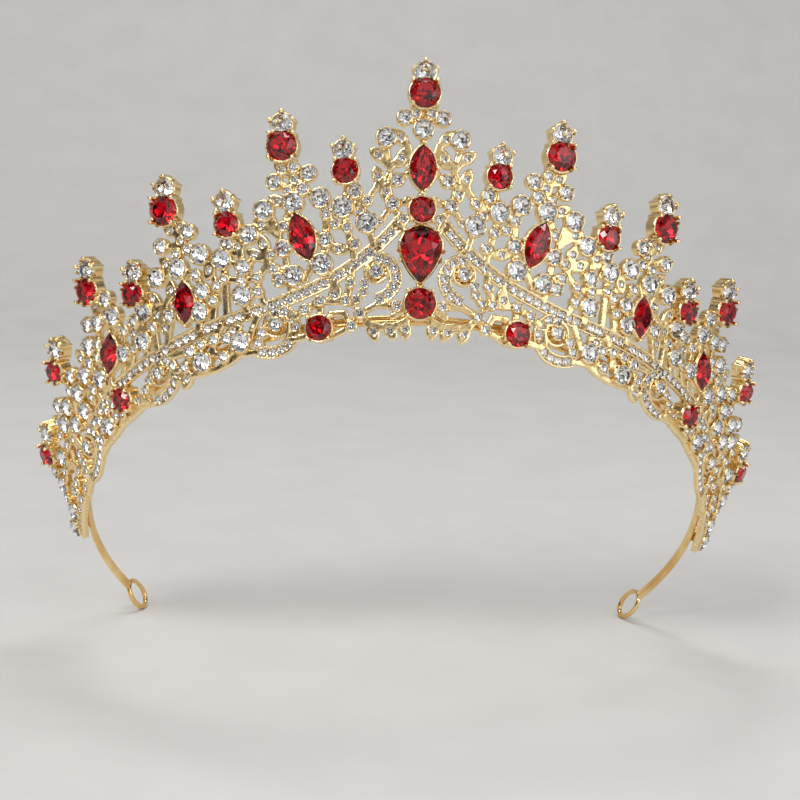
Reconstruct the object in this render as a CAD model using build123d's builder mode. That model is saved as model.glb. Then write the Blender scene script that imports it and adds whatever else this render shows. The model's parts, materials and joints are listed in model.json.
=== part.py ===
from build123d import *
import math
import os

# A cast and stone-set bridal tiara. Millimetres and degrees throughout.
#
# The origin is the centre of the head band, +X is to the right as seen from the front,
# -Y is the front and +Z is up. The band leans as it is worn, with its front raised.

# Head band: two parallel wires bent to one arc, opening into a pin loop at each end
band_radius = 71.0
band_half_angle = 115.5
band_tilt = 50.0
wire_radius = 0.6
wire_spacing = 1.2
loop_length = 9.5
loop_height = 7.0

# Joins between the band and the plate
clip_bearing = 92.0
clip_length = 3.4
clip_width = 2.6
clip_depth = 1.6
post_bearing = 38.0
post_radius = 0.8
post_length = 2.8

# Cast plate: cut flat, then bent to a cone that flares away from the head
plate_radius = 74.4
plate_flare = 35.3
plate_drop = 2.4

# Heights above the plate's face line, along the outward normal of the cone
back_level = -2.4
twig_back = -2.25
leaf_back = -2.1
cup_level = -0.5
tall_cup_level = 0.3

# Casting details; twigs differ a little in section, as hand-carved ones do
twig_width = 1.2
twig_depth = 1.15
twig_width_step = 0.05
twig_depth_step = 0.05
twig_back_step = 0.04
knot_growth = 0.06
cup_wall = 0.25
channel_width = 2.8
channel_floor = 0.9
channel_rim = 0.35
channel_rim_height = 0.3
leaf_length = 4.4
leaf_width = 2.3
leaf_thickness = 1.2
prong_radius = 0.36
prong_gap = 0.02
corner_gap = 0.05
claw_height = 0.7
four_claws = (45, 135, 225, 315)
star_claws = (18, 90, 162, 234, 306)
setting_opening = 0.7
bead_radius = 0.75
bead_level = -1.4
scroll_width = 2.6
curl_lift = 0.02
curl_inside = 0.35
curl_outside = 0.25
curl_bar = 1.0
rail_stations = 26
scroll_stations = 12

# Stones
pave_size = 1.75
pave_pitch = 1.9
leaf_stone = 1.5
large_stone = 3.2
crown_share = 0.24
table_share = 0.62
marquise_height = 1.5
pear_height = 2.0

# Joins: the largest error in volume, and the shifts that are tried one after another
volume_slack = 0.01
nudges = (0, 0.011, -0.017, 0.023, -0.031, 0.047)

beta = math.radians(plate_flare)
apex_distance = plate_radius / math.sin(beta)
channel_level = leaf_back + channel_floor
band_axis = Vector(0, 0, 1).rotate(Axis.X, -band_tilt)
band_plane = Plane(origin=(0, 0, 0), x_dir=(1, 0, 0), z_dir=band_axis)
on_seat = (Align.CENTER, Align.CENTER, Align.MIN)
under_seat = (Align.CENTER, Align.CENTER, Align.MAX)


def turned(plane, angle):
    """The same plane, turned about its own normal."""
    return Plane(plane.location * Rot(0, 0, angle))


def band_point(bearing, radius):
    """The band's outward and lengthwise directions at a bearing from the front, and the point at a radius."""
    angle = math.radians(bearing)
    outward = Vector(math.sin(angle), -math.cos(angle), 0).rotate(Axis.X, -band_tilt)
    along = Vector(math.cos(angle), math.sin(angle), 0).rotate(Axis.X, -band_tilt)
    return outward, along, outward * radius


def place(x, y, level=0.0, turn=0.0):
    """Plane at (x, y) of the flat plate once it is bent to the cone; Z leaves its face."""
    reach = math.hypot(x, y + apex_distance)
    spread = math.atan2(x, y + apex_distance)
    bearing = spread / math.sin(beta)
    height = (reach - apex_distance) * math.cos(beta) - plate_drop
    side = Vector(math.cos(bearing), math.sin(bearing), 0)
    radial = Vector(math.sin(bearing), -math.cos(bearing), 0)
    upward = radial * math.sin(beta) + Vector(0, 0, math.cos(beta))
    outward = radial * math.cos(beta) - Vector(0, 0, math.sin(beta))
    along = upward * math.sin(spread) + side * math.cos(spread)
    origin = radial * (reach * math.sin(beta)) + Vector(0, 0, height) + outward * level
    local = Plane(
        origin=origin.rotate(Axis.X, -band_tilt),
        x_dir=along.rotate(Axis.X, -band_tilt),
        z_dir=outward.rotate(Axis.X, -band_tilt),
    )
    return turned(local, turn)


def twigs(lines):
    """Flat-backed twigs with a round knot at every bend, along lines of (x, y) points of the plate."""
    pieces = []
    for index, line in enumerate(lines):
        width = twig_width + twig_width_step * (index % 4)
        depth = twig_depth + twig_depth_step * (3 * index % 5)
        back = twig_back + twig_back_step * (2 * index % 5)
        knot = Cylinder(width / 2 + knot_growth, depth + knot_growth, align=on_seat)
        for bend, (x, y) in enumerate(line):
            pieces.append(place(x, y, back - knot_growth / 2) * knot)
            if bend + 1 == len(line):
                break
            next_x, next_y = line[bend + 1]
            start = place(x, y, back).origin
            end = place(next_x, next_y, back).origin
            face = place((x + next_x) / 2, (y + next_y) / 2)
            seat = Plane(origin=(start + end) * 0.5, x_dir=end - start, z_dir=face.z_dir)
            pieces.append(seat * Box((end - start).length, width, depth, align=on_seat))
    return pieces


def cups(stones, top=cup_level):
    """Plain round collets, one under every stone of a list of (x, y, diameter)."""
    pieces = []
    for x, y, size in stones:
        collet = Cylinder(size / 2 + cup_wall, top - back_level, align=under_seat)
        pieces.append(place(x, y, top) * collet)
    return pieces


def prongs(stones, top, angles):
    """Upright claws at these angles round every stone, from the collet's foot to over its girdle."""
    pieces = []
    for x, y, size in stones:
        length = top - back_level + size * crown_share
        distance = size / 2 + prong_radius + prong_gap
        for angle in angles:
            claw = Pos(distance, 0, 0) * Cylinder(prong_radius, length, align=on_seat)
            pieces.append(place(x, y, back_level, angle) * claw)
    return pieces


def leaves(entries):
    """Almond leaves; an entry holds the place of the leaf's middle and the way its tip points."""
    half = leaf_length / 2
    with BuildSketch() as outline:
        with BuildLine():
            ThreePointArc((-half, 0), (-half / 4, leaf_width / 2), (half, 0))
            ThreePointArc((half, 0), (-half / 4, -leaf_width / 2), (-half, 0))
        make_face()
    blade = extrude(outline.sketch, amount=leaf_thickness)
    return [place(x, y, leaf_back, pointing) * blade for x, y, pointing in entries]


def gems(stones, base):
    """Round stones as a girdle with a sloping crown and a flat table."""
    pieces = []
    for x, y, size in stones:
        crown = Cone(size / 2, size / 2 * table_share, size * crown_share, align=on_seat)
        pieces.append(place(x, y, base) * crown)
    return pieces


def pave_places(line):
    """Evenly pitched stone places along a channel's centre line."""
    path = Spline(line)
    count = round(path.length / pave_pitch)
    spots = [path.position_at((index + 0.5) / count) for index in range(count)]
    return [(spot.X, spot.Y, pave_size) for spot in spots]


def channel(line, stations, width):
    """Stone channel with raised rims: one trough profile carried along the bent centre line."""
    path = Spline(line)
    half = width / 2
    rim_top = channel_level + channel_rim_height
    trough = [
        (-half, leaf_back),
        (half, leaf_back),
        (half, rim_top),
        (half - channel_rim, rim_top),
        (half - channel_rim, channel_level),
        (-half + channel_rim, channel_level),
        (-half + channel_rim, rim_top),
        (-half, rim_top),
    ]
    with BuildPart() as trough_part:
        for index in range(stations + 1):
            spot = path.position_at(index / stations)
            heading = path.tangent_at(index / stations)
            face = place(spot.X, spot.Y)
            tangent = face.x_dir * heading.X + face.y_dir * heading.Y
            section = Plane(origin=face.origin, x_dir=tangent.cross(face.z_dir), z_dir=tangent)
            with BuildSketch(section):
                with BuildLine():
                    Polyline(*[(across, -level) for across, level in trough], close=True)
                make_face()
        loft()
    return trough_part.part


def joined(pieces):
    """One casting from pieces added in turn; a piece that joins badly is shifted a hair and tried again."""
    body = pieces[0]
    for piece in pieces[1:]:
        for nudge in nudges:
            moved = Pos(nudge, nudge, nudge) * piece
            grown = body.fuse(moved)
            gain = grown.volume - body.volume
            whole = -volume_slack < gain < piece.volume + volume_slack
            merged = gain < piece.volume - volume_slack or body.distance_to(moved) > 0
            if whole and merged and all(solid.is_valid for solid in grown.solids()):
                body = grown
                break
        else:
            print("not joined", piece.center())
    return body


def write(shape, name):
    shape.label = name
    export_step(shape, f"parts/{name}.step")


def write_pair(shape, name):
    """A piece of the right half and its mirror image."""
    write(shape, f"right_{name}")
    write(mirror(shape, about=Plane.YZ), f"left_{name}")


# Places on the flat plate, for one half; the other half is its mirror image.
# Stones are (x, y, diameter), leaves are (x, y, direction), twigs are lines of (x, y).

rail_line = [
    (3.2, 20.8), (6.5, 16.7), (12.0, 11.6), (18.0, 7.5), (25.0, 4.2), (32.0, 1.5),
    (40.0, -0.9), (47.0, -3.4), (55.0, -6.8), (62.0, -10.3), (69.0, -14.6), (75.0, -19.2), (79.5, -23.8),
]
inner_scroll_line = [(9.6, 11.8), (7.2, 11.7), (5.3, 9.8), (5.0, 7.2), (6.4, 4.8), (9.0, 3.6)]
middle_scroll_line = [
    (30.4, 0.6), (28.0, 1.1), (25.8, -0.4), (25.3, -3.0), (27.2, -6.2), (30.2, -7.3), (33.0, -7.0),
]
outer_scroll_line = [(58.0, -9.3), (55.4, -9.0), (53.2, -10.4), (53.0, -13.2), (55.2, -16.2), (58.4, -17.4)]
end_scroll_line = [(82.4, -25.2), (79.4, -25.4), (78.0, -27.6), (79.0, -31.0), (81.4, -34.3), (84.4, -36.4)]

curls = {
    "inner": (8.9, 9.2, 2.6, 2.3),
    "middle": (29.2, -1.6, 2.6, 2.6),
    "outer": (56.8, -11.6, 2.7, 2.6),
    "end": (82.4, -28.6, 2.9, 2.5),
}
curl_strands = {
    "inner": [(11.1, 7.4), (11.2, 5.6), (12.2, 4.2), (13.4, 2.6)],
    "middle": [(31.4, -2.8), (32.2, -4.0), (32.9, -5.6), (33.2, -7.0)],
    "outer": [(58.8, -12.8), (60.0, -14.2), (60.5, -16.0), (60.4, -17.6)],
    "end": [(84.6, -29.4), (85.6, -31.2), (85.2, -33.4), (84.6, -36.2)],
}
strand_stones = {
    "inner": [(11.1, 6.8, 1.7), (11.4, 5.0, 1.5), (12.7, 3.5, 1.5)],
    "middle": [(32.1, -3.4, 1.9), (32.8, -5.4, 1.7)],
    "outer": [(59.3, -13.2, 1.7), (60.4, -15.2, 1.6)],
    "end": [(86.5, -30.6, 1.7), (85.0, -32.4, 1.6), (84.6, -34.2, 1.5)],
}

inner_spray = {
    "tips": [(16.0, 33.3, 3.9)],
    "small_reds": [(15.5, 29.1, 5.2)],
    "stones": [
        (7.5, 36.2, 3.7), (11.0, 19.0, 4.0), (16.0, 22.0, 3.9), (20.6, 23.8, 3.7), (19.9, 10.5, 4.0),
        (13.6, 25.2, 2.6), (5.1, 27.7, 2.4), (5.9, 22.8, 2.4), (19.3, 15.4, 2.6), (11.0, 23.4, 1.7),
        (15.0, 17.9, 1.7), (17.5, 18.5, 1.6), (13.3, 14.6, 1.8), (19.3, 20.6, 1.9),
    ],
    "leaves": [
        (4.6, 36.2, 50), (9.0, 32.6, 35), (4.3, 32.2, 110), (9.0, 28.4, 70), (7.4, 25.2, 80),
        (16.6, 13.6, 10), (8.3, 19.3, 120), (12.6, 21.3, 60),
    ],
    "twigs": [
        [(4.4, 19.8), (6.0, 22.8), (7.0, 26.6), (6.6, 30.2), (7.4, 33.4), (7.5, 35.6)],
        [(9.5, 14.4), (11.0, 19.0), (12.0, 22.2), (13.6, 25.2), (15.4, 28.4), (16.0, 32.6)],
        [(13.4, 12.0), (15.0, 17.9), (16.0, 22.0), (15.0, 26.0)],
        [(18.6, 8.4), (19.6, 12.0), (19.3, 15.4), (19.3, 20.6), (20.6, 23.8)],
        [(6.0, 22.8), (8.3, 19.3), (11.0, 19.0)],
        [(13.3, 14.6), (16.4, 13.4), (19.3, 15.4)],
        [(15.0, 17.9), (17.5, 18.5), (19.3, 20.6)],
        [(6.6, 30.2), (3.0, 33.8)],
        [(7.0, 26.6), (5.0, 27.8), (2.2, 29.4)],
        [(6.6, 30.2), (9.0, 32.6)],
        [(5.9, 22.8), (3.0, 23.4)],
        [(4.6, 36.2), (3.2, 34.6), (2.4, 32.4)],
        [(12.0, 22.2), (9.4, 26.0), (8.8, 28.6)],
    ],
}
middle_spray = {
    "marquise": (24.0, 15.9, 5.2, 10.2, 70),
    "tips": [(28.6, 38.6, 4.2), (40.4, 22.9, 4.0)],
    "large_reds": [(28.5, 34.1, 6.2)],
    "small_reds": [(39.8, 18.5, 5.2)],
    "stones": [
        (26.1, 22.8, 3.9), (32.3, 21.3, 3.8), (35.4, 16.5, 3.7), (41.3, 11.6, 3.9), (36.5, 4.2, 3.9),
        (25.6, 8.2, 3.7), (23.1, 28.8, 2.9), (30.2, 27.0, 2.9), (27.9, 13.7, 3.0), (36.5, 9.9, 3.0),
        (28.6, 7.3, 2.5), (40.0, 14.6, 2.6), (24.2, 25.6, 2.2), (26.2, 30.0, 1.9), (27.4, 25.2, 1.5),
        (28.0, 18.1, 1.7), (29.9, 9.5, 1.8), (33.4, 7.8, 1.6), (33.2, 4.9, 1.8), (36.8, 7.2, 1.7),
        (30.4, 12.4, 1.5),
    ],
    "leaves": [
        (28.6, 29.6, 40), (25.9, 27.6, 88), (29.4, 23.2, 30), (32.6, 18.4, 25), (32.2, 14.6, 65),
        (34.0, 12.4, 25), (37.8, 14.0, 110),
    ],
    "twigs": [
        [(26.2, 4.6), (27.2, 9.4), (27.9, 13.7), (29.2, 16.2), (28.0, 18.9), (26.2, 22.8), (26.4, 27.0),
         (27.2, 30.6), (28.4, 33.8), (28.6, 38.0)],
        [(29.2, 16.2), (32.0, 17.8), (35.4, 16.5)],
        [(26.4, 25.6), (30.2, 27.0)],
        [(29.2, 16.2), (30.4, 19.4), (32.3, 21.3)],
        [(31.6, 2.4), (33.2, 4.9), (33.4, 7.8), (31.0, 10.6), (29.2, 9.8), (25.6, 8.2)],
        [(31.0, 10.6), (33.6, 12.2), (36.5, 9.9)],
        [(31.0, 10.6), (32.0, 14.0)],
        [(35.6, 1.0), (36.5, 4.2), (36.8, 7.2), (36.5, 9.9), (37.4, 13.4), (39.0, 16.4), (40.3, 22.4)],
        [(37.4, 13.4), (35.4, 16.5)],
        [(36.5, 9.9), (41.3, 11.6), (40.0, 14.6), (39.8, 18.0)],
        [(33.4, 7.8), (36.8, 7.2)],
        [(23.1, 28.8), (26.0, 27.0)],
        [(20.6, 23.8), (24.2, 25.0), (26.2, 26.0)],
        [(22.3, 9.6), (23.4, 7.4), (25.6, 8.2)],
        [(25.8, 21.6), (25.8, 19.8)],
        [(19.3, 15.4), (21.2, 15.0)],
    ],
}
outer_spray = {
    "marquise": (49.7, 2.9, 4.7, 8.8, 86),
    "tips": [(53.9, 26.2, 4.2), (61.9, 9.2, 4.0)],
    "large_reds": [(54.1, 21.7, 6.2)],
    "small_reds": [(62.2, 4.8, 5.2)],
    "stones": [
        (51.5, 9.9, 3.9), (46.3, 12.6, 3.9), (56.8, 8.0, 3.8), (46.2, 1.0, 3.7), (60.2, 0.9, 3.6),
        (60.6, -5.0, 3.7), (49.0, 17.3, 2.9), (55.5, 14.4, 2.9), (45.6, 5.2, 3.1), (53.6, 0.2, 2.6),
        (62.9, -0.8, 2.4), (50.5, 18.4, 1.7), (49.0, 13.7, 2.0), (51.8, 12.9, 1.6), (42.2, 6.2, 1.7),
        (40.6, 7.6, 1.5), (43.0, 3.2, 1.7), (47.2, 8.5, 1.9), (57.9, -2.2, 1.8), (63.4, -6.6, 1.6),
        (65.8, -2.8, 1.8),
    ],
    "leaves": [
        (53.2, 17.6, 30), (50.8, 15.5, 88), (54.3, 10.8, 35), (53.3, 5.4, 92), (57.9, 3.8, 30),
        (56.8, 0.3, 60), (44.1, 9.4, 110), (54.8, -2.4, 70), (63.2, -3.2, 80),
    ],
    "twigs": [
        [(43.4, -1.8), (43.0, 3.2), (42.2, 6.2), (44.2, 9.4), (46.3, 12.6), (49.0, 13.7)],
        [(46.6, -2.8), (46.2, 1.0), (45.6, 5.2), (47.2, 8.5), (51.5, 9.9), (51.0, 14.6), (52.2, 18.4),
         (54.0, 21.4), (53.9, 25.6)],
        [(49.0, 17.3), (51.0, 14.6), (55.5, 14.4)],
        [(51.5, 9.9), (56.8, 8.0)],
        [(54.4, -5.8), (54.0, -2.4), (55.2, 1.6), (53.3, 4.6)],
        [(55.2, 1.6), (57.4, 3.0), (60.2, 0.9)],
        [(54.0, -2.4), (53.6, 0.2)],
        [(57.2, -7.0), (57.9, -2.2), (56.8, 0.3)],
        [(60.0, -8.4), (60.6, -5.0), (61.8, -2.6), (60.2, 0.9), (61.8, 4.4), (61.9, 8.8)],
        [(64.8, -10.6), (63.4, -6.6), (63.4, -3.4), (65.8, -2.8)],
        [(40.2, 0.4), (40.6, 7.6), (41.3, 11.6)],
        [(36.8, 7.2), (40.6, 7.6), (42.2, 6.2)],
        [(50.1, -1.2), (53.6, 0.2)],
        [(49.8, 8.0), (50.4, 10.0)],
        [(57.9, -2.2), (61.8, -2.6)],
    ],
}
side_spray = {
    "marquise": (70.2, -7.6, 4.7, 8.6, 100),
    "tips": [(74.8, 10.0, 4.2), (87.4, -7.0, 4.0)],
    "large_reds": [(75.1, 5.6, 5.8)],
    "small_reds": [(89.0, -12.0, 5.2)],
    "stones": [
        (68.8, 0.2, 3.7), (73.6, -1.2, 3.4), (66.3, -7.6, 3.5), (77.0, -6.2, 3.6), (79.4, -12.6, 3.6),
        (74.2, -13.2, 3.6), (82.6, -16.6, 3.6), (80.9, -20.4, 3.6), (70.7, 3.8, 3.1), (76.8, -1.6, 2.9),
        (84.4, -12.8, 2.9), (69.2, -2.9, 1.7), (74.0, -5.6, 1.8), (74.6, -8.6, 1.6), (77.2, -9.8, 1.9),
        (76.8, -15.6, 1.9), (85.8, -16.2, 1.8),
    ],
    "leaves": [(74.2, 2.0, 80), (80.4, -8.8, 50), (72.0, -13.6, 100), (78.4, -17.4, 60), (71.6, 0.6, 60)],
    "twigs": [
        [(67.6, -13.2), (66.8, -10.4), (66.3, -7.6), (66.8, -4.0), (68.8, 0.2), (70.7, 3.8)],
        [(70.4, -15.2), (72.6, -12.4), (74.4, -8.8), (74.0, -5.4), (73.6, -1.2), (74.2, 2.2), (75.0, 5.0),
         (74.8, 9.6)],
        [(73.6, -1.2), (76.8, -1.6)],
        [(74.4, -8.8), (77.0, -6.2)],
        [(72.6, -17.2), (74.2, -13.2), (76.4, -11.6), (77.2, -9.8), (80.4, -8.8)],
        [(74.6, -18.6), (76.8, -15.6), (79.4, -12.6), (84.4, -12.8), (88.6, -12.0), (87.4, -7.6)],
        [(76.8, -15.6), (82.6, -16.6), (85.8, -16.2), (88.4, -13.4)],
        [(77.2, -21.0), (80.9, -20.4), (82.6, -16.6)],
        [(76.4, -11.6), (79.4, -12.6)],
        [(69.2, -2.9), (67.6, -2.0)],
        [(71.4, -11.2), (72.0, -12.6)],
    ],
}
end_spray = {
    "tips": [(98.4, -26.8, 4.0)],
    "small_reds": [(101.6, -32.4, 5.2)],
    "stones": [
        (88.0, -20.0, 3.8), (85.4, -23.8, 3.6), (90.4, -24.2, 3.8), (95.4, -32.6, 3.8), (100.2, -39.8, 3.6),
        (99.6, -46.6, 3.8), (104.6, -52.2, 3.8), (91.8, -20.0, 2.8), (102.4, -37.0, 2.6), (93.6, -27.0, 1.8),
        (91.2, -29.0, 1.9), (96.4, -36.0, 1.8), (91.4, -38.0, 1.8), (93.8, -41.0, 1.8), (91.2, -42.0, 1.7),
        (101.0, -43.4, 1.9), (88.4, -34.8, 1.7),
    ],
    "leaves": [
        (88.0, -39.0, -80), (94.4, -24.0, 20), (88.6, -27.6, 60), (95.6, -40.5, -60), (95.8, -45.6, -40),
    ],
    "twigs": [
        [(81.6, -24.4), (85.4, -23.8), (88.0, -20.0), (91.8, -20.0)],
        [(82.6, -16.6), (85.0, -19.6), (85.4, -23.8)],
        [(85.4, -23.8), (87.8, -27.0), (90.4, -24.2), (93.6, -27.0), (98.0, -27.2), (101.0, -31.6)],
        [(84.6, -30.2), (87.8, -27.0), (91.2, -29.0), (95.4, -32.6), (101.2, -32.6)],
        [(85.2, -33.0), (88.4, -34.8), (91.6, -33.6), (96.4, -36.0), (102.4, -37.0)],
        [(91.2, -29.0), (91.6, -33.6), (91.4, -38.0), (93.8, -41.0), (96.6, -44.2), (99.6, -46.6),
         (102.4, -49.8), (104.6, -52.2)],
        [(96.4, -36.0), (98.2, -38.4), (100.2, -39.8), (101.0, -43.4), (99.6, -46.6)],
        [(84.4, -36.2), (87.8, -39.4), (91.2, -42.0), (95.2, -46.2), (99.4, -50.6), (103.4, -54.4)],
        [(93.8, -41.0), (91.2, -42.0)],
        [(102.4, -49.8), (99.4, -50.6)],
    ],
}
front_border = {
    "small_reds": [(20.0, -2.4, 5.2)],
    "stones": [
        (4.6, 2.4, 1.8), (12.0, 0.8, 1.8), (15.0, 3.2, 1.6), (20.2, 3.1, 1.8), (23.2, 1.4, 1.8),
        (13.6, -1.8, 1.8), (14.0, 6.8, 1.5),
    ],
    "leaves": [(17.2, 4.4, 115), (5.8, -2.6, -125), (9.2, -2.8, -110), (2.8, -2.2, -100)],
    "twigs": [
        [(2.4, 1.6), (4.6, 2.4), (8.8, 2.6), (12.0, 0.8), (13.6, -1.8), (17.4, -3.8)],
        [(2.6, -0.4), (4.6, -1.4), (7.4, -1.9), (10.2, -1.4), (12.0, 0.8)],
        [(13.4, 2.6), (15.0, 3.2), (17.6, 3.2), (20.2, 3.1), (23.2, 1.4), (25.2, 0.0)],
        [(15.0, 3.2), (14.0, 6.8), (13.8, 9.4)],
        [(13.6, -1.8), (15.2, 0.8), (17.8, 0.6)],
        [(20.2, 3.1), (20.0, 0.0)],
        [(22.2, -3.8), (25.8, -4.6)],
        [(17.6, 3.2), (17.2, 7.0)],
    ],
}
middle_border = {
    "small_reds": [],
    "stones": [
        (36.9, -5.2, 3.9), (45.6, -9.3, 3.9), (39.9, -4.6, 2.0), (42.8, -4.8, 1.8), (40.6, -8.2, 1.9),
        (45.8, -5.7, 1.7), (48.6, -7.1, 2.2), (50.0, -10.4, 1.8),
    ],
    "leaves": [(38.6, -3.0, 150), (49.6, -13.0, -70)],
    "twigs": [
        [(33.2, -7.2), (37.0, -7.6), (39.6, -9.4), (42.6, -10.8), (45.8, -11.6), (49.4, -12.2),
         (52.6, -13.6)],
        [(33.2, -0.2), (34.2, -2.4), (34.8, -4.4), (36.9, -5.2), (39.9, -4.6), (42.8, -4.8), (45.8, -5.7),
         (48.6, -7.1), (50.0, -10.4), (52.4, -11.4)],
        [(38.4, -6.6), (40.6, -8.2), (43.4, -7.4), (45.6, -9.3)],
        [(41.4, -1.8), (42.8, -4.8)],
        [(48.6, -7.1), (53.0, -8.2)],
        [(49.4, -12.2), (50.0, -10.4)],
        [(42.8, -4.8), (43.4, -7.4)],
    ],
}
back_border = {
    "small_reds": [(66.7, -17.3, 5.2)],
    "stones": [
        (73.0, -23.4, 3.7), (68.2, -20.8, 1.7), (70.8, -18.4, 1.8), (73.2, -19.9, 1.6), (76.0, -22.4, 2.0),
        (76.0, -26.6, 1.7),
    ],
    "leaves": [(63.0, -17.6, 150), (70.6, -21.0, 120)],
    "twigs": [
        [(58.6, -17.8), (62.2, -18.8), (65.2, -20.8), (68.8, -22.8), (72.2, -25.6), (76.0, -28.2),
         (79.2, -31.4)],
        [(60.4, -17.6), (64.4, -17.4)],
        [(68.8, -22.8), (68.2, -20.8), (70.8, -18.4), (71.0, -16.2)],
        [(70.8, -18.4), (73.2, -19.9), (73.0, -23.4), (72.2, -25.6)],
        [(73.0, -23.4), (76.0, -22.4), (78.6, -24.2)],
        [(76.0, -28.2), (76.0, -26.6), (78.2, -27.4)],
    ],
}
sprays = {
    "inner_spray": inner_spray,
    "middle_spray": middle_spray,
    "outer_spray": outer_spray,
    "side_spray": side_spray,
    "end_spray": end_spray,
    "front_border": front_border,
    "middle_border": middle_border,
    "back_border": back_border,
}
border_beads = {
    "middle_border": [(34.2, -2.4), (49.0, -12.4), (51.4, -13.0)],
    "front_border": [(14.0, 8.6)],
    "end_spray": [(103.0, -54.2)],
}

# Centre column, on the line of symmetry
centre_tip = [(0.0, 49.3, 4.2)]
centre_large_reds = [(0.0, 45.2, 6.2), (0.0, 2.9, 6.2)]
centre_small_reds = [(0.0, 21.7, 5.2)]
centre_round = [(0.0, 38.1, 3.8)]
centre_pairs = [(3.9, 40.3, 2.8), (1.6, 41.2, 1.6)]
centre_marquise = (0.0, 30.2, 5.4, 9.4, 90)
pear_width = 8.6
pear_top = 18.6
pear_tip = 7.0
pear_centre = pear_top - pear_width / 2
centre_twigs = [
    [(0, 35.6), (0, 38.1), (0, 41.4), (0, 45.2), (0, 49.0)],
    [(-3.9, 40.3), (0, 39.6), (3.9, 40.3)],
    [(0, 18.8), (0, 21.7), (0, 25.2)],
    [(0, 7.0), (0, 4.6)],
    [(-5.2, 0.4), (-3.0, 1.8), (3.0, 1.8), (5.2, 0.4)],
    [(-3.0, 23.8), (0, 21.0), (3.0, 23.8)],
    [(-4.4, 18.9), (-3.0, 16.8)],
    [(4.4, 18.9), (3.0, 16.8)],
]


def marquise_outline(width, length):
    """Pointed oval whose long axis lies along X."""
    with BuildSketch() as outline:
        with BuildLine():
            ThreePointArc((-length / 2, 0), (0, width / 2), (length / 2, 0))
            ThreePointArc((length / 2, 0), (0, -width / 2), (-length / 2, 0))
        make_face()
    return outline.sketch


def pear_outline(width):
    """Drop with its round end up and its tip down, about the centre of the round end."""
    round_radius = width / 2
    tip = pear_tip - pear_centre
    with BuildSketch() as outline:
        with BuildLine():
            ThreePointArc((-round_radius, 0), (0, round_radius), (round_radius, 0))
            ThreePointArc((round_radius, 0), (round_radius * 0.66, tip * 0.52), (0, tip))
            ThreePointArc((0, tip), (-round_radius * 0.66, tip * 0.52), (-round_radius, 0))
        make_face()
    return outline.sketch


def fancy_gem(outline, seat, height):
    """Stone of any outline: full at the girdle, drawn in to a flat table."""
    with BuildPart() as stone:
        with BuildSketch(seat):
            add(outline)
        with BuildSketch(seat.offset(height)):
            add(scale(outline, table_share))
        loft(ruled=True)
    return stone.part


def fancy_setting(outline, seat, claw_places):
    """Open-backed collet that follows a shaped stone, with claws at its corners."""
    with BuildPart() as setting:
        with BuildSketch(seat.offset(back_level)):
            offset(outline, amount=cup_wall)
            offset(outline, amount=-setting_opening, mode=Mode.SUBTRACT)
        extrude(amount=cup_level - back_level)
        with BuildSketch(seat.offset(back_level)):
            with Locations(*claw_places):
                Circle(prong_radius)
        extrude(amount=cup_level - back_level + claw_height)
    return setting.part


def marquise_claws(width, length):
    """Places of four claws, at a marquise's tips and on its flanks."""
    along = length / 2 + prong_radius + corner_gap
    across = width / 2 + prong_radius + corner_gap
    return [(along, 0), (-along, 0), (0, across), (0, -across)]


os.makedirs("parts", exist_ok=True)

# Head band wires
for level, name in ((wire_spacing / 2, "band_upper_wire"), (-wire_spacing / 2, "band_lower_wire")):
    start = turned(band_plane, -90 - band_half_angle)
    with BuildPart() as band_wire:
        with BuildSketch(Plane(origin=start.origin, x_dir=start.x_dir, z_dir=-start.y_dir)):
            with Locations((band_radius, level)):
                Circle(wire_radius)
        revolve(axis=Axis((0, 0, 0), band_axis), revolution_arc=2 * band_half_angle)
    write(band_wire.part, name)

# Pin loop at the band's end
outward, along, end_point = band_point(band_half_angle, band_radius)
loop_plane = Plane(origin=end_point + along * (loop_length / 2), x_dir=along, z_dir=outward)
loop_line = (loop_plane * Ellipse(loop_length / 2 - wire_radius, loop_height / 2 - wire_radius)).wire()
with BuildPart() as end_loop:
    with BuildSketch(Plane(origin=loop_line @ 0, z_dir=loop_line % 0)):
        Circle(wire_radius)
    sweep(path=loop_line)
write_pair(end_loop.part, "end_loop")

# Clip that holds the plate's tail on the band
outward, along, clip_point = band_point(clip_bearing, band_radius + wire_radius)
with BuildPart() as band_clip:
    with BuildSketch(Plane(origin=clip_point, x_dir=along, z_dir=outward)):
        RectangleRounded(clip_length, clip_width, clip_width / 4)
    extrude(amount=clip_depth)
write_pair(band_clip.part, "band_clip")

# Solder posts between the band and the back of the plate, behind its front
with BuildPart() as solder_posts:
    for bearing in (-post_bearing, 0, post_bearing):
        outward, along, post_point = band_point(bearing, band_radius + wire_radius)
        with BuildSketch(Plane(origin=post_point, z_dir=outward)):
            Circle(post_radius)
        extrude(amount=post_length)
write(solder_posts.part, "solder_posts")

# Centre column: spire casting, shaped settings and stones
marquise_x, marquise_y, marquise_width, marquise_length, marquise_turn = centre_marquise
marquise_plane = place(marquise_x, marquise_y, 0.0, marquise_turn)
marquise_shape = marquise_outline(marquise_width, marquise_length)
marquise_corners = marquise_claws(marquise_width, marquise_length)
write(fancy_setting(marquise_shape, marquise_plane, marquise_corners), "centre_marquise_setting")
write(fancy_gem(marquise_shape, marquise_plane.offset(cup_level), marquise_height), "centre_red_marquise")

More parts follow.
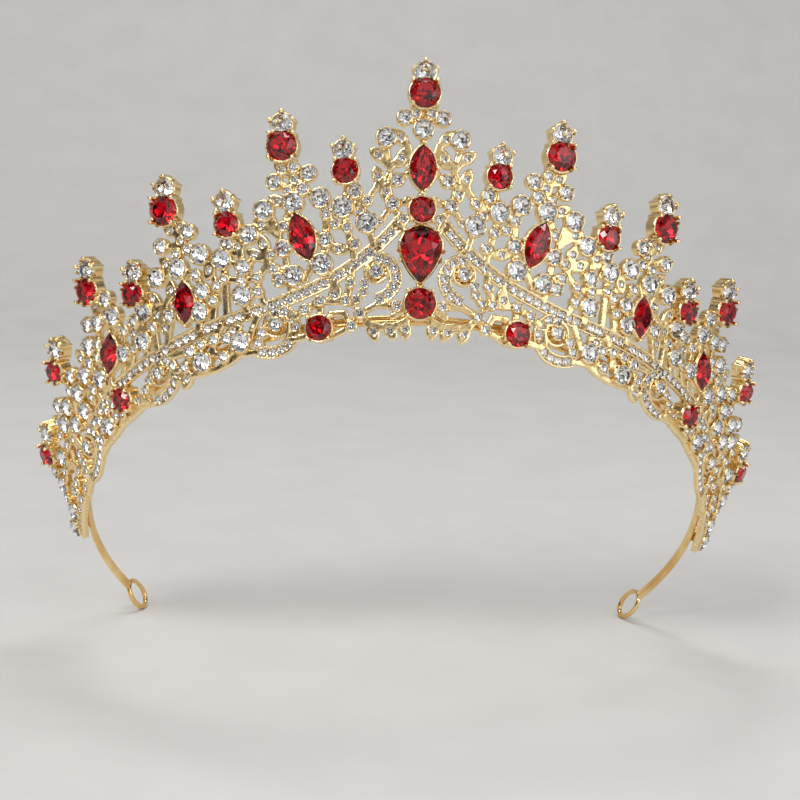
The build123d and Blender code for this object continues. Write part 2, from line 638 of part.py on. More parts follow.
pear_plane = place(0, pear_centre)
pear_shape = pear_outline(pear_width)
pear_reach = pear_width / 2 + prong_radius
pear_claws = [
    (pear_reach * 0.72, pear_reach * 0.72),
    (-pear_reach * 0.72, pear_reach * 0.72),
    (pear_reach * 0.86, (pear_tip - pear_centre) * 0.36),
    (-pear_reach * 0.86, (pear_tip - pear_centre) * 0.36),
    (0, pear_tip - pear_centre - prong_radius),
]
write(fancy_setting(pear_shape, pear_plane, pear_claws), "centre_pear_setting")
write(fancy_gem(pear_shape, pear_plane.offset(cup_level), pear_height), "centre_red_pear")

centre_clears = list(centre_round)
for x, y, size in centre_pairs:
    centre_clears.append((x, y, size))
    centre_clears.append((-x, y, size))
centre_reds = centre_large_reds + centre_small_reds
centre_metal = twigs(centre_twigs) + cups(centre_clears) + cups(centre_reds + centre_tip, tall_cup_level)
centre_metal += prongs(centre_reds, tall_cup_level, four_claws)
centre_metal += prongs(centre_tip, tall_cup_level, star_claws)
with BuildPart() as centre_column:
    add(joined(centre_metal))
write(centre_column.part, "centre_column")
write(Compound(children=gems(centre_tip, tall_cup_level)), "centre_tip_crystal")
write(Compound(children=gems(centre_reds, tall_cup_level)), "centre_red_rounds")
write(Compound(children=gems(centre_clears, cup_level)), "centre_clear_crystals")

# Rails and scrolls
write_pair(channel(rail_line, rail_stations, channel_width), "rail")
write_pair(Compound(children=gems(pave_places(rail_line), channel_level)), "rail_pave")

scroll_lines = {
    "inner": inner_scroll_line,
    "middle": middle_scroll_line,
    "outer": outer_scroll_line,
    "end": end_scroll_line,
}
scroll_pave = []
small_crystals = []
for name, line in scroll_lines.items():
    curl_x, curl_y, curl_stone, curl_radius = curls[name]
    strand = strand_stones[name] + [(curl_x, curl_y, curl_stone)]
    ring_plane = place(curl_x, curl_y, leaf_back + curl_lift)
    with BuildPart() as curl_ring:
        with BuildSketch(ring_plane):
            Circle(curl_radius + curl_outside)
            Circle(curl_radius - curl_inside, mode=Mode.SUBTRACT)
        extrude(amount=channel_floor + channel_rim_height)
        with BuildSketch(ring_plane):
            Rectangle(2 * curl_radius, curl_bar)
        extrude(amount=channel_floor)
    scroll_metal = [channel(line, scroll_stations, scroll_width), curl_ring.part]
    scroll_metal += twigs([curl_strands[name]]) + cups(strand)
    with BuildPart() as scroll:
        add(joined(scroll_metal))
    write_pair(scroll.part, f"{name}_scroll")
    scroll_pave += gems(pave_places(line), channel_level)
    small_crystals += gems(strand, cup_level)
write_pair(Compound(children=scroll_pave), "scroll_pave")

# Sprays and borders
tips = []
large_reds = []
small_reds = []
large_crystals = []
leaf_crystals = []
marquises = []
for name, motif in sprays.items():
    tip_stones = motif.get("tips", [])
    red_stones = motif.get("large_reds", []) + motif.get("small_reds", [])
    metal = twigs(motif["twigs"]) + cups(motif["stones"]) + cups(tip_stones + red_stones, tall_cup_level)
    metal += prongs(red_stones, tall_cup_level, four_claws) + prongs(tip_stones, tall_cup_level, star_claws)
    metal += leaves(motif["leaves"])
    metal += [place(x, y, bead_level) * Sphere(bead_radius) for x, y in border_beads.get(name, [])]
    if "marquise" in motif:
        x, y, width, length, pointing = motif["marquise"]
        seat = place(x, y, 0.0, pointing)
        shape = marquise_outline(width, length)
        metal.append(fancy_setting(shape, seat, marquise_claws(width, length)))
        marquises.append(fancy_gem(shape, seat.offset(cup_level), marquise_height))
    with BuildPart() as spray:
        add(joined(metal))
    write_pair(spray.part, name)
    tips += gems(tip_stones, tall_cup_level)
    large_reds += gems(motif.get("large_reds", []), tall_cup_level)
    small_reds += gems(motif.get("small_reds", []), tall_cup_level)
    large_crystals += gems([stone for stone in motif["stones"] if stone[2] > large_stone], cup_level)
    small_crystals += gems([stone for stone in motif["stones"] if stone[2] <= large_stone], cup_level)
    leaf_stones = [(x, y, leaf_stone) for x, y, pointing in motif["leaves"]]
    leaf_crystals += gems(leaf_stones, leaf_back + leaf_thickness)
write_pair(Compound(children=tips), "tip_crystals")
write_pair(Compound(children=large_reds), "large_red_rounds")
write_pair(Compound(children=small_reds), "small_red_rounds")
write_pair(Compound(children=marquises), "red_marquises")
write_pair(Compound(children=large_crystals), "large_crystals")
write_pair(Compound(children=small_crystals), "small_crystals")
write_pair(Compound(children=leaf_crystals), "leaf_crystals")
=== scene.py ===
"""Looks of the bridal tiara: faceted stones over foil, clawed cups and a soft-edged pale gold casting."""

import json
import math

import bmesh
import bpy
import numpy as np
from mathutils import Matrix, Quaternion, Vector


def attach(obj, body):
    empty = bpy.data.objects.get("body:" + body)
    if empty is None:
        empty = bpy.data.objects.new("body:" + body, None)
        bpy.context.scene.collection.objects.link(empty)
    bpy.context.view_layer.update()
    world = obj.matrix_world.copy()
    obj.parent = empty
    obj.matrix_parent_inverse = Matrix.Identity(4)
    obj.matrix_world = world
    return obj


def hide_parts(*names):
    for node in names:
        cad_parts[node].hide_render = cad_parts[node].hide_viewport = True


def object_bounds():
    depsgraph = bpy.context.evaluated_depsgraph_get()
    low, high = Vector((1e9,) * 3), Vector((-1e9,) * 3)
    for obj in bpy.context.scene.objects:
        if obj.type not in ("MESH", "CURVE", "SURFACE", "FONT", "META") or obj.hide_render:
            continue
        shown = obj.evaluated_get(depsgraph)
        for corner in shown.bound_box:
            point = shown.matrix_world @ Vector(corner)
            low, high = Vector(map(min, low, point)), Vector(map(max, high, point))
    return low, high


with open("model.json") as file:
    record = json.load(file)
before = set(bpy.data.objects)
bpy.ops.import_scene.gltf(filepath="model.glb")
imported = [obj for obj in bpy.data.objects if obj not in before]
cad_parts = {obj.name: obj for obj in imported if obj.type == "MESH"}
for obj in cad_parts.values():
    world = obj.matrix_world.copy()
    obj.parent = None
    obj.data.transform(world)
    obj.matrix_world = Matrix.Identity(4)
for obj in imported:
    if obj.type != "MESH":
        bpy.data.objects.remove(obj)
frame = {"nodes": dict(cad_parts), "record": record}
cad_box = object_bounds()

MM = 0.001
ROOT = "root"
METAL_SLOTS = ("cast_metal", "wire_metal")

# Casting: how finely it is remeshed, how it is smoothed, and how far its skin stands out afterwards
VOXEL = 0.19 * MM
SMOOTHING_ROUNDS = 4
SMOOTHING_FACTOR = 0.5
SWELL = 0.13 * MM
CHANNEL_SWELL = 0.04 * MM

# Seats: the gap under a stone, and the share of its reach within which the casting is pressed down
SEAT_GAP = 0.12 * MM
SEAT_REACH = 0.96

# Reading a CAD stone: corners this close are one, faces this parallel make one flat, corners in this share
# of its height are its girdle, and a stone no longer than this many widths is round
WELD = 0.002 * MM
PARALLEL = 0.9995
GIRDLE_BAND = 0.05
ROUND_LIMIT = 1.12
OUTLINE_DIGITS = 7

# Cut of the stones, as shares of the stone's own width or of the way out to its girdle
TABLE_SHARE = 0.56
STAR_SHARE = 0.80
LOWER_SHARE = 0.45
GIRDLE_SHARE = 0.04
PAVILION_SHARE = 0.36
FACETS = 8

# Rims and claws. A claw's rise, offset and radii are shares of its size, and turns are shares of a full one
SMALL_STONE = 2.2 * MM
RIM_RADIUS = 0.19 * MM
RIM_OFFSET = 0.10 * MM
RIM_STEPS = 24
RIM_SIDES = 6
SMALL_RIM_RADIUS = 0.13 * MM
SMALL_RIM_OFFSET = 0.08 * MM
SMALL_RIM_STEPS = 16
CLAW_RISE = 0.35
CLAW_OFFSET = 0.25
CLAW_LEAN = 0.35
CLAW_RADII = (0.85, 0.80, 1.50)
CLAW_RINGS = 5
CLAW_SIDES = 8
CORNER_TURN = 0.125
STAR_TURN = 0.05

# Apex of the cone that the plate is bent to: every stone's upward direction runs away from it
APEX = Vector((0.0, 0.0, -107.5 * MM))
APEX.rotate(Quaternion((1.0, 0.0, 0.0), math.radians(-50.0)))


# ---------------------------------------------------------------- materials


def new_material(name):
    """Empty material, with its nodes, its links and its shader."""
    material = bpy.data.materials.new(name)
    material.use_nodes = True
    nodes = material.node_tree.nodes
    return material, nodes, material.node_tree.links, nodes["Principled BSDF"]


def noise(nodes, links, scale, detail=3.0, roughness=0.55):
    """Noise that lies in the object's own space, with features about 1/scale metres wide."""
    place = nodes.new("ShaderNodeTexCoord")
    texture = nodes.new("ShaderNodeTexNoise")
    texture.inputs["Scale"].default_value = scale
    texture.inputs["Detail"].default_value = detail
    texture.inputs["Roughness"].default_value = roughness
    links.new(place.outputs["Object"], texture.inputs["Vector"])
    return texture


def ramp(nodes, links, source, stops):
    """Colour that runs through the stops, each a position and a colour, as the source goes from 0 to 1."""
    node = nodes.new("ShaderNodeValToRGB")
    while len(node.color_ramp.elements) < len(stops):
        node.color_ramp.elements.new(0.5)
    for element, (position, colour) in zip(node.color_ramp.elements, stops):
        element.position = position
        element.color = (*colour, 1.0)
    links.new(source, node.inputs["Fac"])
    return node


def remap(nodes, links, source, low, high, start=0.3, end=0.7):
    """Value that goes from low to high as the source goes from start to end."""
    node = nodes.new("ShaderNodeMapRange")
    node.inputs["From Min"].default_value = start
    node.inputs["From Max"].default_value = end
    node.inputs["To Min"].default_value = low
    node.inputs["To Max"].default_value = high
    links.new(source, node.inputs["Value"])
    return node


def bump(nodes, links, height, shader, strength, distance):
    """Fine relief on the shader's surface."""
    node = nodes.new("ShaderNodeBump")
    node.inputs["Strength"].default_value = strength
    node.inputs["Distance"].default_value = distance
    links.new(height, node.inputs["Height"])
    links.new(node.outputs["Normal"], shader.inputs["Normal"])


def cast_gold():
    """Pale gold plate on a casting: random tone, painted highlight on the edges, painted shade in the
    hollows, a slight orange-peel skin.
    """
    material, nodes, links, shader = new_material("cast_gold")
    shader.inputs["Metallic"].default_value = 1.0
    tone = noise(nodes, links, scale=260.0)
    geometry = nodes.new("ShaderNodeNewGeometry")
    # Pointiness mask: painted highlight on the convex edges and painted shade in the hollows, mixed with a
    # random tone
    edges = remap(nodes, links, geometry.outputs["Pointiness"], low=0.0, high=1.0, start=0.44, end=0.56)
    tone_and_painted_light = nodes.new("ShaderNodeMath")
    tone_and_painted_light.operation = "MULTIPLY_ADD"
    tone_and_painted_light.inputs[1].default_value = 0.35
    links.new(tone.outputs["Fac"], tone_and_painted_light.inputs[0])
    links.new(edges.outputs["Result"], tone_and_painted_light.inputs[2])
    # The dark warm stop is painted shade in the hollows and the pale stop is painted highlight on the edges
    stops = [(0.15, (0.48, 0.27, 0.08)), (0.55, (0.84, 0.58, 0.25)), (1.0, (0.99, 0.81, 0.47))]
    colour = ramp(nodes, links, tone_and_painted_light.outputs["Value"], stops)
    links.new(colour.outputs["Color"], shader.inputs["Base Color"])
    smudge = noise(nodes, links, scale=900.0, detail=2.0)
    shine = remap(nodes, links, smudge.outputs["Fac"], low=0.14, high=0.30)
    links.new(shine.outputs["Result"], shader.inputs["Roughness"])
    skin = noise(nodes, links, scale=1600.0, detail=2.0)
    bump(nodes, links, skin.outputs["Fac"], shader, strength=0.25, distance=0.08 * MM)
    return material


def wire_gold():
    """Drawn wire under the same plate: smoother, with faint rub marks."""
    material, nodes, links, shader = new_material("wire_gold")
    shader.inputs["Metallic"].default_value = 1.0
    tone = noise(nodes, links, scale=120.0)
    stops = [(0.35, (0.80, 0.50, 0.18)), (0.65, (0.97, 0.72, 0.34))]
    colour = ramp(nodes, links, tone.outputs["Fac"], stops)
    links.new(colour.outputs["Color"], shader.inputs["Base Color"])
    rub = noise(nodes, links, scale=700.0, detail=2.0)
    shine = remap(nodes, links, rub.outputs["Fac"], low=0.12, high=0.26)
    links.new(shine.outputs["Result"], shader.inputs["Roughness"])
    bump(nodes, links, rub.outputs["Fac"], shader, strength=0.12, distance=0.05 * MM)
    return material


def crystal(name, colour, ior):
    """Polished glass with a trace of haze."""
    material, nodes, links, shader = new_material(name)
    shader.inputs["Base Color"].default_value = (*colour, 1.0)
    shader.inputs["Transmission Weight"].default_value = 1.0
    shader.inputs["IOR"].default_value = ior
    haze = noise(nodes, links, scale=1400.0, detail=1.0)
    polish = remap(nodes, links, haze.outputs["Fac"], low=0.0, high=0.035)
    links.new(polish.outputs["Result"], shader.inputs["Roughness"])
    return material


def foil(name, dark, bright):
    """Mirror foil on the back facets of a stone."""
    material, nodes, links, shader = new_material(name)
    shader.inputs["Metallic"].default_value = 1.0
    crinkle = noise(nodes, links, scale=800.0, detail=2.0)
    colour = ramp(nodes, links, crinkle.outputs["Fac"], [(0.35, dark), (0.6, bright)])
    links.new(colour.outputs["Color"], shader.inputs["Base Color"])
    shine = remap(nodes, links, crinkle.outputs["Fac"], low=0.04, high=0.12)
    links.new(shine.outputs["Result"], shader.inputs["Roughness"])
    return material


GOLD = cast_gold()
WIRE = wire_gold()
CLEAR = crystal("clear_glass", (1.0, 1.0, 1.0), 1.58)
RED = crystal("red_glass", (0.62, 0.004, 0.014), 1.60)
CLEAR_FOIL = foil("silver_foil", (0.88, 0.88, 0.89), (1.0, 1.0, 1.0))
RED_FOIL = foil("red_foil", (0.80, 0.45, 0.40), (0.98, 0.90, 0.86))


# ------------------------------------------------------------ reading the CAD


def linked_faces(first, unseen):
    """The first face and every unseen face that hangs together with it."""
    stack = [first]
    members = []
    while stack:
        face = stack.pop()
        members.append(face)
        for edge in face.edges:
            for other in edge.link_faces:
                if other in unseen:
                    unseen.discard(other)
                    stack.append(other)
    return members


def islands(source):
    """Every closed solid of a node's mesh, as the normal, area and corners of each of its faces."""
    mesh = bmesh.new()
    mesh.from_mesh(source.data)
    bmesh.ops.remove_doubles(mesh, verts=mesh.verts, dist=WELD)
    mesh.faces.ensure_lookup_table()
    unseen = set(mesh.faces)
    solids = []
    while unseen:
        faces = []
        for face in linked_faces(unseen.pop(), unseen):
            faces.append((face.normal.copy(), face.calc_area(), [corner.co.copy() for corner in face.verts]))
        solids.append(faces)
    mesh.free()
    return solids


def largest_flat(faces):
    """Normal of a solid's largest flat, which is the underside of a CAD stone."""
    largest, best = None, 0.0
    for normal, area, corners in faces:
        total = sum(other[1] for other in faces if other[0].dot(normal) > PARALLEL)
        if total > best:
            largest, best = normal, total
    return largest


def spaced(loop, count):
    """count points at even steps round a closed outline, the first at the corner farthest along U."""
    start = max(range(len(loop)), key=lambda index: loop[index][0])
    loop = loop[start:] + loop[:start]
    closed = loop + [loop[0]]
    steps = [0.0]
    for first, second in zip(closed, closed[1:]):
        steps.append(steps[-1] + math.dist(first, second))
    spots = []
    for index in range(count):
        target = steps[-1] * index / count
        after = next(number for number, step in enumerate(steps) if step > target)
        share = (target - steps[after - 1]) / (steps[after] - steps[after - 1])
        spots.append(between(closed[after - 1], closed[after], share))
    return spots


def between(first, second, share):
    """Point at a share of the way from the first point to the second."""
    return first[0] + (second[0] - first[0]) * share, first[1] + (second[1] - first[1]) * share


class Stone:
    """A stone's seat: the middle of its girdle, its outward axis, its outline and its crown's height."""

    def __init__(self, faces, count):
        self.axis = -largest_flat(faces)
        points = [corner for normal, area, corners in faces for corner in corners]
        levels = [point.dot(self.axis) for point in points]
        lowest = min(levels)
        self.height = max(levels) - lowest
        base = [point for point, level in zip(points, levels) if level < lowest + GIRDLE_BAND * self.height]
        middle = sum(base, Vector()) / len(base)
        far = max(base, key=lambda point: (point - middle).length)
        self.across = (far - middle).normalized()
        self.side = self.axis.cross(self.across)
        flat = self.flattened(base, middle)
        low_u, high_u = min(spot[0] for spot in flat), max(spot[0] for spot in flat)
        low_v, high_v = min(spot[1] for spot in flat), max(spot[1] for spot in flat)
        middle_u, middle_v = (low_u + high_u) / 2, (low_v + high_v) / 2
        self.width = high_v - low_v
        self.length = high_u - low_u
        self.is_round = self.length < ROUND_LIMIT * self.width
        self.centre = middle + self.across * middle_u + self.side * middle_v
        if self.is_round:
            self.stand_upright(count)
        else:
            self.outline = spaced([(u - middle_u, v - middle_v) for u, v in flat], count)

    def flattened(self, base, middle):
        """Girdle corners in the stone's own plane, in order of their angle round the middle."""
        spots = set()
        for point in base:
            u = round((point - middle).dot(self.across), OUTLINE_DIGITS)
            v = round((point - middle).dot(self.side), OUTLINE_DIGITS)
            spots.add((u, v))
        return sorted(spots, key=lambda spot: math.atan2(spot[1], spot[0]))

    def stand_upright(self, count):
        """Turns a round stone so that its side direction points up the plate."""
        rise = self.centre - APEX
        self.side = (rise - self.axis * rise.dot(self.axis)).normalized()
        self.across = self.side.cross(self.axis)
        radius = (self.width + self.length) / 4
        self.outline = []
        for turn in range(count):
            angle = turn * 2 * math.pi / count
            self.outline.append((radius * math.cos(angle), radius * math.sin(angle)))
        self.width = 2 * radius

    def point(self, u, v, level):
        """Point in space at u across, v up the side and a level above the girdle."""
        return self.centre + self.across * u + self.side * v + self.axis * level

    def girdle_point(self, share):
        """Point of the girdle, in the stone's own plane, at a share of its full turn."""
        if self.is_round:
            angle = 2 * math.pi * share
            return math.cos(angle) * self.width / 2, math.sin(angle) * self.width / 2
        position = share * len(self.outline)
        index = int(position) % len(self.outline)
        after = (index + 1) % len(self.outline)
        return between(self.outline[index], self.outline[after], position - int(position))


# -------------------------------------------------------------- mesh building


class Builder:
    """Collects vertices and faces of one object."""

    def __init__(self):
        self.verts = []
        self.faces = []
        self.slots = []
        self.smooth = []

    def add(self, points, faces, slot=0, smooth=False):
        """Adds faces, which count from the first of the points, with a material slot and a shading."""
        first = len(self.verts)
        self.verts.extend(points)
        for face in faces:
            self.faces.append([first + index for index in face])
            self.slots.append(slot)
            self.smooth.append(smooth)

    def finish(self, name, materials, record_slot, *replaced):
        """Makes the object, which rides on the root body and may stand for CAD nodes."""
        mesh = bpy.data.meshes.new(name)
        mesh.from_pydata([tuple(vert) for vert in self.verts], [], self.faces)
        for material in materials:
            mesh.materials.append(material)
        mesh.polygons.foreach_set("material_index", self.slots)
        mesh.polygons.foreach_set("use_smooth", self.smooth)
        mesh.update()
        place_piece(name, mesh, record_slot, *replaced)


def place_piece(name, mesh, record_slot, *replaced):
    """Puts a mesh into the scene as a piece of the root body, in place of the CAD nodes it stands for."""
    piece = bpy.data.objects.new(name, mesh)
    bpy.context.scene.collection.objects.link(piece)
    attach(piece, ROOT)
    if replaced:
        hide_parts(*replaced)


def cut_stone(builder, stone):
    """Brilliant cut on the stone's outline: table, stars, kites and upper girdle over a foiled pavilion."""
    count = len(stone.outline)
    mains = count // 2
    girdle = GIRDLE_SHARE * stone.width
    crown = stone.height - girdle
    depth = PAVILION_SHARE * stone.width
    half_step = math.cos(math.pi / mains)
    star_level = girdle + crown * (1 - STAR_SHARE * half_step) / (1 - TABLE_SHARE)
    lower_level = -depth * (1 - LOWER_SHARE * half_step)
    corners, middles = stone.outline[0::2], stone.outline[1::2]
    points = [stone.point(u, v, girdle) for u, v in stone.outline]
    points += [stone.point(u, v, 0.0) for u, v in stone.outline]
    points += [stone.point(u * TABLE_SHARE, v * TABLE_SHARE, stone.height) for u, v in corners]
    points += [stone.point(u * STAR_SHARE, v * STAR_SHARE, star_level) for u, v in middles]
    points += [stone.point(u * LOWER_SHARE, v * LOWER_SHARE, lower_level) for u, v in middles]
    points.append(stone.point(0.0, 0.0, -depth))
    upper, lower, table, star, keel = 0, count, 2 * count, 2 * count + mains, 2 * count + 2 * mains
    culet = 2 * count + 3 * mains
    glass = [[table + index for index in range(mains)]]
    foiled = []
    for index in range(mains):
        after = (index + 1) % mains
        here, middle, there = 2 * index, 2 * index + 1, (2 * index + 2) % count
        glass.append([table + index, star + index, table + after])
        glass.append([table + after, star + index, upper + there, star + after])
        glass.append([star + index, upper + here, upper + middle])
        glass.append([star + index, upper + middle, upper + there])
        glass.append([upper + here, lower + here, lower + middle, upper + middle])
        glass.append([upper + middle, lower + middle, lower + there, upper + there])
        foiled.append([lower + here, keel + index, lower + middle])
        foiled.append([lower + middle, keel + index, lower + there])
        foiled.append([lower + there, keel + index, culet, keel + after])
    builder.add(points, glass, 0)
    builder.add(points, foiled, 1)


def egg(builder, centre, across, side, axis, radii):
    """Smooth egg with its own radius along each direction."""
    points = [centre + axis * radii[2]]
    for ring in range(1, CLAW_RINGS):
        polar = math.pi * ring / CLAW_RINGS
        for turn in range(CLAW_SIDES):
            angle = 2 * math.pi * turn / CLAW_SIDES
            offset = across * (radii[0] * math.sin(polar) * math.cos(angle))
            offset += side * (radii[1] * math.sin(polar) * math.sin(angle))
            points.append(centre + offset + axis * (radii[2] * math.cos(polar)))
    points.append(centre - axis * radii[2])
    last = len(points) - 1
    last_ring = 1 + (CLAW_RINGS - 2) * CLAW_SIDES
    faces = []
    for turn in range(CLAW_SIDES):
        after = (turn + 1) % CLAW_SIDES
        faces.append([0, 1 + turn, 1 + after])
        for ring in range(CLAW_RINGS - 2):
            near, far = 1 + ring * CLAW_SIDES, 1 + (ring + 1) * CLAW_SIDES
            faces.append([near + turn, far + turn, far + after, near + after])
        faces.append([last_ring + turn, last, last_ring + after])
    builder.add(points, faces, 0, True)


def rim(builder, stone, offset, radius, steps):
    """Round bead of metal that runs round the stone's girdle, offset outwards from it."""
    points, faces = [], []
    for step in range(steps):
        u, v = stone.girdle_point(step / steps)
        out = (stone.across * u + stone.side * v) / math.hypot(u, v)
        centre = stone.point(u, v, 0.0) + out * offset
        for turn in range(RIM_SIDES):
            around = 2 * math.pi * turn / RIM_SIDES
            rise, reach = radius * math.sin(around), radius * math.cos(around)
            points.append(centre + out * reach + stone.axis * rise)
    for step in range(steps):
        here, there = step * RIM_SIDES, (step + 1) % steps * RIM_SIDES
        for turn in range(RIM_SIDES):
            beside = (turn + 1) % RIM_SIDES
            faces.append([here + turn, there + turn, there + beside, here + beside])
    builder.add(points, faces, 0, True)


def claws(builder, stone, count, size, turn=CORNER_TURN, offset=0.0):
    """Claw tips that grip the girdle: eggs that lean over the stone's edge."""
    for index in range(count):
        u, v = stone.girdle_point((index / count + turn) % 1.0)
        out = (stone.across * u + stone.side * v).normalized()
        along = stone.axis.cross(out)
        lean = (stone.axis - out * CLAW_LEAN).normalized()
        centre = stone.point(u, v, size * CLAW_RISE) + out * (size * CLAW_OFFSET + offset)
        radii = [size * share for share in CLAW_RADII]
        egg(builder, centre, lean.cross(along), along, lean, radii)


def set_stone(builder, stone, kind):
    """Rim and claws to suit the stone's size and kind."""
    if kind == "tip":
        rim(builder, stone, RIM_OFFSET, RIM_RADIUS, RIM_STEPS)
        claws(builder, stone, 5, 0.42 * MM, STAR_TURN, offset=0.22 * MM)
    elif kind == "red":
        turn = CORNER_TURN if stone.is_round else 0.0
        rim(builder, stone, RIM_OFFSET, RIM_RADIUS, RIM_STEPS)
        claws(builder, stone, 4, 0.06 * stone.width + 0.12 * MM, turn, offset=0.10 * MM)
    elif kind == "pave":
        claws(builder, stone, 4, 0.16 * MM)
    elif stone.width > SMALL_STONE:
        rim(builder, stone, RIM_OFFSET, RIM_RADIUS, RIM_STEPS)
        claws(builder, stone, 4, 0.036 * stone.width + 0.19 * MM)
    else:
        rim(builder, stone, SMALL_RIM_OFFSET, SMALL_RIM_RADIUS, SMALL_RIM_STEPS)
        claws(builder, stone, 4, 0.19 * MM)


# ---------------------------------------------------------------- the pieces


def dress_stones(node, record_slot):
    """Cuts and sets every stone of a CAD node, and gives the stones back."""
    is_red = record_slot == "red_crystal"
    if is_red:
        kind, glass = "red", [RED, RED_FOIL]
    else:
        kind = next((word for word in ("tip", "pave") if word in node), "clear")
        glass = [CLEAR, CLEAR_FOIL]
    gems, settings = Builder(), Builder()
    found = []
    for faces in islands(frame["nodes"][node]):
        stone = Stone(faces, 2 * FACETS)
        cut_stone(gems, stone)
        set_stone(settings, stone, kind)
        found.append(stone)
    gems.finish(node + "_cut", glass, record_slot, node)
    settings.finish(node + "_claws", [GOLD], "cast_metal")
    return found


def hollow_seats(points, stones):
    """Presses the casting down under each stone, so that its pavilion has a cup to sit in."""
    low, high = points.min(axis=0), points.max(axis=0)
    for stone in stones:
        centre = np.array(stone.centre)
        if np.any(centre < low - stone.length) or np.any(centre > high + stone.length):
            continue
        offset = points - centre
        near = np.nonzero(np.abs(offset).max(axis=1) < stone.length)[0]
        if len(near) == 0:
            continue
        axis = np.array(stone.axis)
        level = offset[near] @ axis
        u = offset[near] @ np.array(stone.across)
        v = offset[near] @ np.array(stone.side)
        share = np.hypot(u / (stone.length / 2), v / (stone.width / 2))
        depth = PAVILION_SHARE * stone.width
        floor = -depth * (1 - share) - SEAT_GAP
        inside = (share < SEAT_REACH) & (level > floor) & (level < stone.height)
        points[near[inside]] += np.outer((floor - level)[inside], axis)
    return points


def melted_mesh(node):
    """The node's mesh with its arrises melted together, as a lost-wax casting comes out."""
    rough = bpy.data.objects.new(node + "_rough", frame["nodes"][node].data.copy())
    bpy.context.scene.collection.objects.link(rough)
    remesh = rough.modifiers.new("cast", "REMESH")
    remesh.mode = "VOXEL"
    remesh.voxel_size = VOXEL
    smooth = rough.modifiers.new("polish", "SMOOTH")
    smooth.factor = SMOOTHING_FACTOR
    smooth.iterations = SMOOTHING_ROUNDS
    graph = bpy.context.evaluated_depsgraph_get()
    mesh = bpy.data.meshes.new_from_object(rough.evaluated_get(graph))
    bpy.data.objects.remove(rough)
    return mesh


def cast_piece(node, stones):
    """The node's casting, a little swelled by its plating and hollowed under its stones."""
    mesh = melted_mesh(node)
    points = np.empty(len(mesh.vertices) * 3)
    mesh.vertices.foreach_get("co", points)
    normals = np.empty(len(mesh.vertices) * 3)
    mesh.vertices.foreach_get("normal", normals)
    swell = CHANNEL_SWELL if "rail" in node or "scroll" in node else SWELL
    points = hollow_seats((points + swell * normals).reshape(-1, 3), stones)
    mesh.vertices.foreach_set("co", points.reshape(-1))
    mesh.polygons.foreach_set("use_smooth", [True] * len(mesh.polygons))
    mesh.materials.clear()
    mesh.materials.append(GOLD)
    mesh.update()
    place_piece(node + "_cast", mesh, "cast_metal", node)


slots = {entry["node"]: entry["material_slot"] for entry in frame["record"]["subparts"]}
all_stones = []
for name in sorted(slots):
    if slots[name] not in METAL_SLOTS:
        all_stones += dress_stones(name, slots[name])
for name in sorted(slots):
    if slots[name] == "cast_metal":
        cast_piece(name, all_stones)
    elif slots[name] == "wire_metal":
        for material_slot in frame["nodes"][name].material_slots:
            material_slot.material = WIRE


# ------------------------------------------------------------ stage and light

FLOOR_LEVEL = cad_box[0].z
FLOOR_FRONT = -3.5
STAGE_HALF_WIDTH = 3.0
BACKDROP_START = 0.45
BACKDROP_RADIUS = 0.35
BACKDROP_HEIGHT = 1.6
BACKDROP_STEPS = 24


def backdrop():
    """Pale floor that sweeps up into a plain wall."""
    profile = [(FLOOR_FRONT, FLOOR_LEVEL), (BACKDROP_START, FLOOR_LEVEL)]
    for step in range(1, BACKDROP_STEPS + 1):
        angle = math.radians(90 * step / BACKDROP_STEPS)
        sweep = BACKDROP_START + BACKDROP_RADIUS * math.sin(angle)
        profile.append((sweep, FLOOR_LEVEL + BACKDROP_RADIUS * (1 - math.cos(angle))))
    profile.append((BACKDROP_START + BACKDROP_RADIUS, FLOOR_LEVEL + BACKDROP_HEIGHT))
    verts, faces = [], []
    for y, z in profile:
        verts.append((-STAGE_HALF_WIDTH, y, z))
        verts.append((STAGE_HALF_WIDTH, y, z))
    for index in range(len(profile) - 1):
        faces.append([2 * index, 2 * index + 1, 2 * index + 3, 2 * index + 2])
    mesh = bpy.data.meshes.new("backdrop")
    mesh.from_pydata(verts, [], faces)
    mesh.polygons.foreach_set("use_smooth", [True] * len(faces))
    material, nodes, links, shader = new_material("backdrop_paper")
    grain = noise(nodes, links, scale=40.0)
    stops = [(0.3, (0.72, 0.71, 0.69)), (0.7, (0.76, 0.75, 0.73))]
    colour = ramp(nodes, links, grain.outputs["Fac"], stops)
    links.new(colour.outputs["Color"], shader.inputs["Base Color"])
    shader.inputs["Roughness"].default_value = 0.75
    mesh.materials.append(material)
    piece = bpy.data.objects.new("backdrop", mesh)
    bpy.context.scene.collection.objects.link(piece)


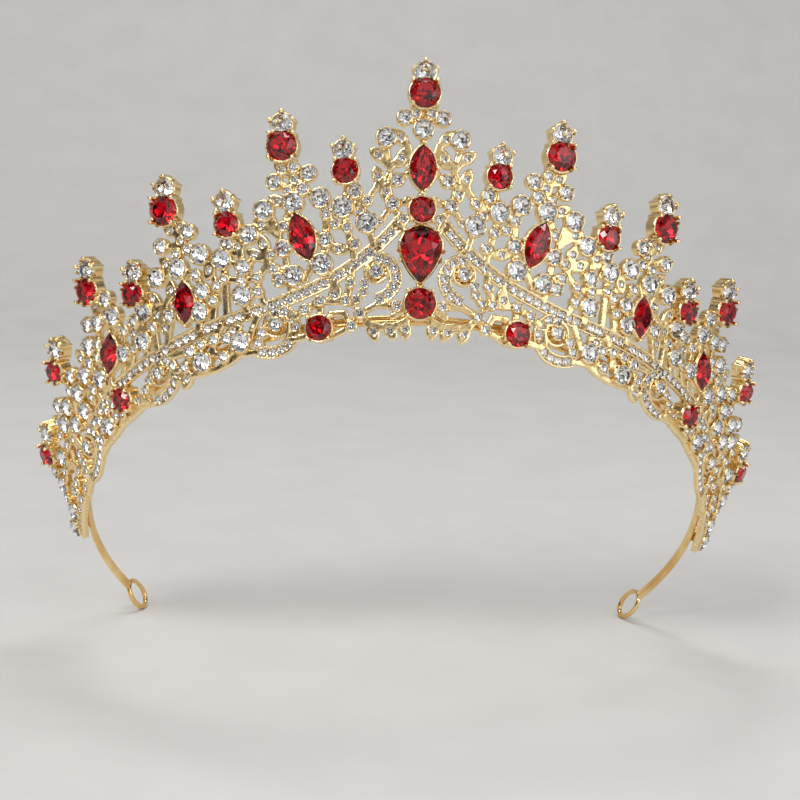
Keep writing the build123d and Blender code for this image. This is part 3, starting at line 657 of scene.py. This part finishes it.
def softbox(name, place, size, power, colour=(1.0, 1.0, 1.0)):
    """Rectangular light that faces the middle of the tiara."""
    light = bpy.data.lights.new(name, "AREA")
    light.shape = "RECTANGLE"
    light.size, light.size_y = size
    light.energy = power
    light.color = colour
    holder = bpy.data.objects.new(name, light)
    holder.location = place
    holder.rotation_mode = "QUATERNION"
    target = (cad_box[0] + cad_box[1]) / 2
    holder.rotation_quaternion = (target - Vector(place)).to_track_quat("-Z", "Y")
    bpy.context.scene.collection.objects.link(holder)


def surroundings():
    """A dim room with soft bright patches all round, which the facets and the gold pick up."""
    world = bpy.data.worlds.new("studio")
    world.use_nodes = True
    nodes, links = world.node_tree.nodes, world.node_tree.links
    place = nodes.new("ShaderNodeTexCoord")
    patches = nodes.new("ShaderNodeTexNoise")
    patches.inputs["Scale"].default_value = 3.2
    patches.inputs["Detail"].default_value = 1.0
    links.new(place.outputs["Generated"], patches.inputs["Vector"])
    stops = [(0.47, (0.05, 0.05, 0.06)), (0.58, (1.0, 1.0, 1.0))]
    colour = ramp(nodes, links, patches.outputs["Fac"], stops)
    links.new(colour.outputs["Color"], nodes["Background"].inputs["Color"])
    nodes["Background"].inputs["Strength"].default_value = 0.82
    bpy.context.scene.world = world


backdrop()
softbox("key", (-0.40, -0.60, 0.70), size=(0.34, 0.26), power=3.7, colour=(1.0, 0.98, 0.95))
softbox("fill", (0.55, -0.55, 0.30), size=(0.55, 0.55), power=1.5, colour=(0.96, 0.98, 1.0))
softbox("top", (0.05, 0.10, 0.80), size=(0.50, 0.16), power=1.8)
surroundings()
bpy.context.scene.view_settings.view_transform = "Standard"


# ------------------------------------------------------------------- camera

CAMERA_PLACE = Vector((-0.0239, -0.3624, 0.1014))
CAMERA_HEADING = Vector((0.0647, 0.9785, -0.1957))
CAMERA_ROLL = math.radians(2.39)

lens = bpy.data.cameras.new("camera")
lens.lens = 72.0
lens.sensor_width = 36.0
lens.clip_start = 0.01
camera = bpy.data.objects.new("camera", lens)
camera.location = CAMERA_PLACE
camera.rotation_mode = "QUATERNION"
roll = Quaternion((0.0, 0.0, 1.0), CAMERA_ROLL)
camera.rotation_quaternion = CAMERA_HEADING.to_track_quat("-Z", "Y") @ roll
bpy.context.scene.collection.objects.link(camera)
bpy.context.scene.camera = camera
